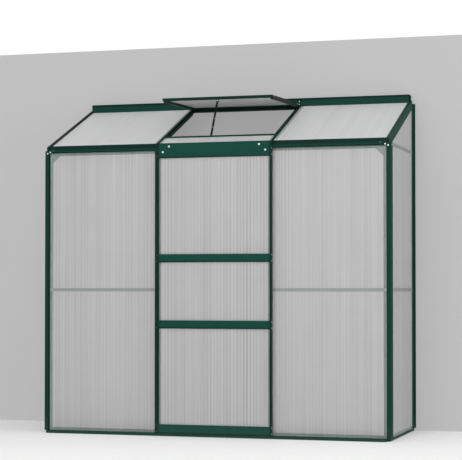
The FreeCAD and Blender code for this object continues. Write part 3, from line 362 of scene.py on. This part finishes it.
def panHead():
    made = bmesh.new()
    rings = [[made.verts.new((0, 0, head["rise"] - head["depth"]))]]
    for ring in range(1, head["rings"] + 1):
        share = ring / head["rings"]
        line = []
        for step in range(head["segments"]):
            turn = 2 * math.pi * step / head["segments"]
            x, y = share * math.cos(turn), share * math.sin(turn)
            z = head["rise"] * math.sqrt(1 - share ** 3)
            if share <= head["recess"] and min(abs(x), abs(y)) < head["arm"]:
                z -= head["depth"]
            line.append(made.verts.new((x, y, z)))
        rings.append(line)
    for step in range(head["segments"]):
        after = (step + 1) % head["segments"]
        made.faces.new((rings[0][0], rings[1][step], rings[1][after]))
        for inner, outer in zip(rings[1:], rings[2:]):
            made.faces.new((inner[step], outer[step], outer[after], inner[after]))
    made.faces.new(list(reversed(rings[-1])))
    bmesh.ops.recalc_face_normals(made, faces=made.faces)
    mesh = bpy.data.meshes.new("panHead")
    made.to_mesh(mesh)
    made.free()
    shape = bpy.data.objects.new("panHead", mesh)
    bpy.context.scene.collection.objects.link(shape)
    return shape


# Middle of each solid of a node, and half its size, along each axis, from left to right.
def solids(name):
    made = bmesh.new()
    made.from_mesh(nodes[name].data)
    bmesh.ops.remove_doubles(made, verts=made.verts, dist=0.00001)
    left = set(made.verts)
    found = []
    while left:
        group, edge = set(), [left.pop()]
        while edge:
            vert = edge.pop()
            group.add(vert.co.copy().freeze())
            for link in vert.link_edges:
                other = link.other_vert(vert)
                if other in left:
                    left.remove(other)
                    edge.append(other)
        low = Vector([min(co[axis] for co in group) for axis in range(3)])
        high = Vector([max(co[axis] for co in group) for axis in range(3)])
        found.append(((low + high) / 2, (high - low) / 2))
    made.free()
    return sorted(found, key=lambda pair: tuple(round(value, 4) for value in pair[0]))


# Where a head faces out: along X away from the middle of its body, or along Y to the front, or
# to the back where the fastener is seen from inside. None is put on what bounds the object.
def headPlaces(name, axis):
    places = []
    solidsOf = solids(name)
    middle = sum(centre[0] for centre, size in solidsOf) / len(solidsOf)
    for centre, size in solidsOf:
        facing = Vector((0, 0, 0))
        if axis == 0:
            facing[axis] = math.copysign(1, centre[0] - middle)
        else:
            isFront = centre[1] < head["frontBefore"] or name == "hinge_rail_screws"
            facing[axis] = -1 if isFront else 1
        place = centre + facing * size[axis]
        isRound = abs(size[2] - size[1 - axis]) < head["roundWithin"]
        if isRound and abs(place[0]) < cadBox[1][0] - head["clearOfEnd"]:
            places.append((place, facing, size[2]))
    return places


# Node group that puts a head on each point, turned to face out and spun by a seeded amount.
def spread():
    group = bpy.data.node_groups.new("heads", "GeometryNodeTree")
    sockets = {}
    given = {"Geometry": "Geometry", "Head": "Object", "Seed": "Int", "Finish": "Material"}
    for label, kind in given.items():
        made = group.interface.new_socket(label, in_out="INPUT", socket_type="NodeSocket" + kind)
        sockets[label] = made.identifier
    group.interface.new_socket("Geometry", in_out="OUTPUT", socket_type="NodeSocketGeometry")

    def add(kind, **inputs):
        made = group.nodes.new(kind)
        for key, value in inputs.items():
            socket = made.inputs[key.replace("_", " ")]
            if isinstance(value, bpy.types.NodeSocket):
                group.links.new(value, socket)
            else:
                socket.default_value = value
        return made

    source = add("NodeGroupInput").outputs
    shape = add("GeometryNodeObjectInfo", Object=source["Head"])
    facing = add("GeometryNodeInputNamedAttribute", Name="facing")
    facing.data_type = "FLOAT_VECTOR"
    wide = add("GeometryNodeInputNamedAttribute", Name="wide")
    turn = add("FunctionNodeRandomValue", Seed=source["Seed"])
    turned = add("FunctionNodeAxisAngleToRotation", Axis=(0, 0, 1), Angle=turn.outputs[1])
    aimed = add("FunctionNodeAlignRotationToVector", Vector=facing.outputs[0])
    aimed.axis = "Z"
    spun = add("FunctionNodeRotateRotation", Rotation=aimed.outputs[0], Rotate_By=turned.outputs[0])
    spun.rotation_space = "LOCAL"
    put = add("GeometryNodeInstanceOnPoints", Points=source["Geometry"],
              Instance=shape.outputs["Geometry"], Rotation=spun.outputs[0], Scale=wide.outputs[0])
    solid = add("GeometryNodeRealizeInstances", Geometry=put.outputs[0])
    painted = add("GeometryNodeSetMaterial", Geometry=solid.outputs[0], Material=source["Finish"])
    add("NodeGroupOutput", Geometry=painted.outputs[0])
    return group, sockets


def fastenerHeads():
    shape = panHead()
    group, sockets = spread()
    for body in ("frame", "door", "vent"):
        places = []
        for name, (carrier, axis) in fasteners.items():
            if carrier == body:
                places += headPlaces(name, axis)
        mesh = bpy.data.meshes.new(body + "Points")
        mesh.from_pydata([place for place, facing, wide in places], [], [])
        mesh.attributes.new("facing", "FLOAT_VECTOR", "POINT")
        mesh.attributes.new("wide", "FLOAT", "POINT")
        for index, (place, facing, wide) in enumerate(places):
            mesh.attributes["facing"].data[index].vector = facing
            mesh.attributes["wide"].data[index].value = wide * head["cover"]
        points = bpy.data.objects.new(body + "Points", mesh)
        bpy.context.scene.collection.objects.link(points)
        made = points.modifiers.new("heads", "NODES")
        made.node_group = group
        made[sockets["Head"]] = shape
        made[sockets["Seed"]] = head["seed"]
        made[sockets["Finish"]] = finishes["zinc_steel"]
        ready = points.evaluated_get(bpy.context.evaluated_depsgraph_get())
        baked = bpy.data.objects.new(body + "Heads", bpy.data.meshes.new_from_object(ready))
        bpy.data.objects.remove(points)
        bpy.context.scene.collection.objects.link(baked)
        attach(baked, body)
        print(body, "heads:", len(places), "with", len(baked.data.polygons), "faces")
    bpy.data.objects.remove(shape)


fastenerHeads()


# Floor, and a plain backdrop that shows from its front only.
room = {"floor": tone(250, 250, 250), "floorReach": 30, "floorRough": 0.7,
        "backdrop": tone(186, 186, 186), "backdropTop": 2.19, "backdropReach": 7.0, "backdropAt": 0.6915,
        "backdropRough": 0.9, "evenness": 0.6}


def plane(name, corners):
    mesh = bpy.data.meshes.new(name)
    mesh.from_pydata(corners, [], [tuple(range(len(corners)))])
    made = bpy.data.objects.new(name, mesh)
    bpy.context.scene.collection.objects.link(made)
    return made


# 1 for a ray that looks at the room, straight or by way of metal or glass.
def looking(tree):
    camera, glossy, through = [addNode(tree, "LightPath", {}, {}, "Is " + kind + " Ray")
                               for kind in ("Camera", "Glossy", "Transmission")]
    return (camera + glossy + through).least(1.0)


def stage():
    reach = room["floorReach"]
    floor = plane("floor", [(-reach, -reach, 0), (reach, -reach, 0), (reach, reach, 0), (-reach, reach, 0)])
    pale = Finish("paleFloor")
    pale.set(Base_Color=room["floor"], Roughness=room["floorRough"])
    floor.data.materials.append(pale.material)

    reach, back, top = room["backdropReach"], room["backdropAt"], room["backdropTop"]
    backdrop = plane("backdrop", [(-reach, back, 0), (reach, back, 0),
                                  (reach, back, top), (-reach, back, top)])
    plain = Finish("plainBackdrop")
    plain.set(Base_Color=room["backdrop"], Roughness=room["backdropRough"])
    lit = Wire(plain.tree, plain.shader.outputs[0])
    even = plain.node("Emission", {}, {"Color": room["backdrop"], "Strength": 1.0})
    shaded = plain.node("MixShader", {}, {0: looking(plain.tree) * room["evenness"], 1: lit, 2: even})
    behind = plain.node("NewGeometry", {}, {}, "Backfacing")
    clear = plain.node("BsdfTransparent", {}, {})
    mixed = plain.node("MixShader", {}, {0: behind, 1: shaded, 2: clear})
    connect(plain.tree, mixed, plain.tree.nodes["Material Output"].inputs["Surface"])
    backdrop.data.materials.append(plain.material)


# Two soft lamps, and a pale sky that is dimmer for what it lights than for what looks at it.
lamps = {"keyLight": {"place": (0.6, -8.0, 3.8), "target": (0, 0.2, 0.9), "size": (6.0, 4.0), "power": 340},
         "fillLight": {"place": (6.5, -2.0, 2.6), "target": (0, 0.3, 0.9), "size": (3.0, 4.0), "power": 110}}
daylight = 0.7


def light():
    world = bpy.data.worlds.new("paleRoom")
    bpy.context.scene.world = world
    world.use_nodes = True
    sky = world.node_tree.nodes["Background"]
    sky.inputs["Color"].default_value = (1, 1, 1, 1)
    strength = looking(world.node_tree) * (1.0 - daylight) + daylight
    connect(world.node_tree, strength, sky.inputs["Strength"])
    for name, lamp in lamps.items():
        data = bpy.data.lights.new(name, "AREA")
        data.shape = "RECTANGLE"
        data.size, data.size_y = lamp["size"]
        data.energy = lamp["power"]
        made = bpy.data.objects.new(name, data)
        made.location = lamp["place"]
        aim = Vector(lamp["target"]) - Vector(lamp["place"])
        made.rotation_euler = aim.to_track_quat("-Z", "Y").to_euler()
        bpy.context.scene.collection.objects.link(made)


# The view of the photograph: focal length, centre and frame in its pixels, turns in degrees.
view = {"focal": 1601.99, "centre": (243.50, 248.39), "yaw": 16.53, "pitch": 1.41,
        "place": (2.5803, -8.1149, 0.7900), "frame": (462, 460), "sensor": 36.0, "farthest": 200}


def camera():
    data = bpy.data.cameras.new("view")
    made = bpy.data.objects.new("view", data)
    bpy.context.scene.collection.objects.link(made)
    bpy.context.scene.camera = made
    wide, high = view["frame"]
    data.sensor_width = view["sensor"]
    data.lens = view["focal"] * view["sensor"] / wide
    data.shift_x = (wide / 2 - view["centre"][0]) / wide
    data.shift_y = (view["centre"][1] - high / 2) / wide
    data.clip_end = view["farthest"]
    made.location = view["place"]
    made.rotation_euler = (math.radians(90 + view["pitch"]), 0, math.radians(view["yaw"]))


stage()
light()
camera()
bpy.context.scene.view_settings.view_transform = "Standard"
print("stage set")
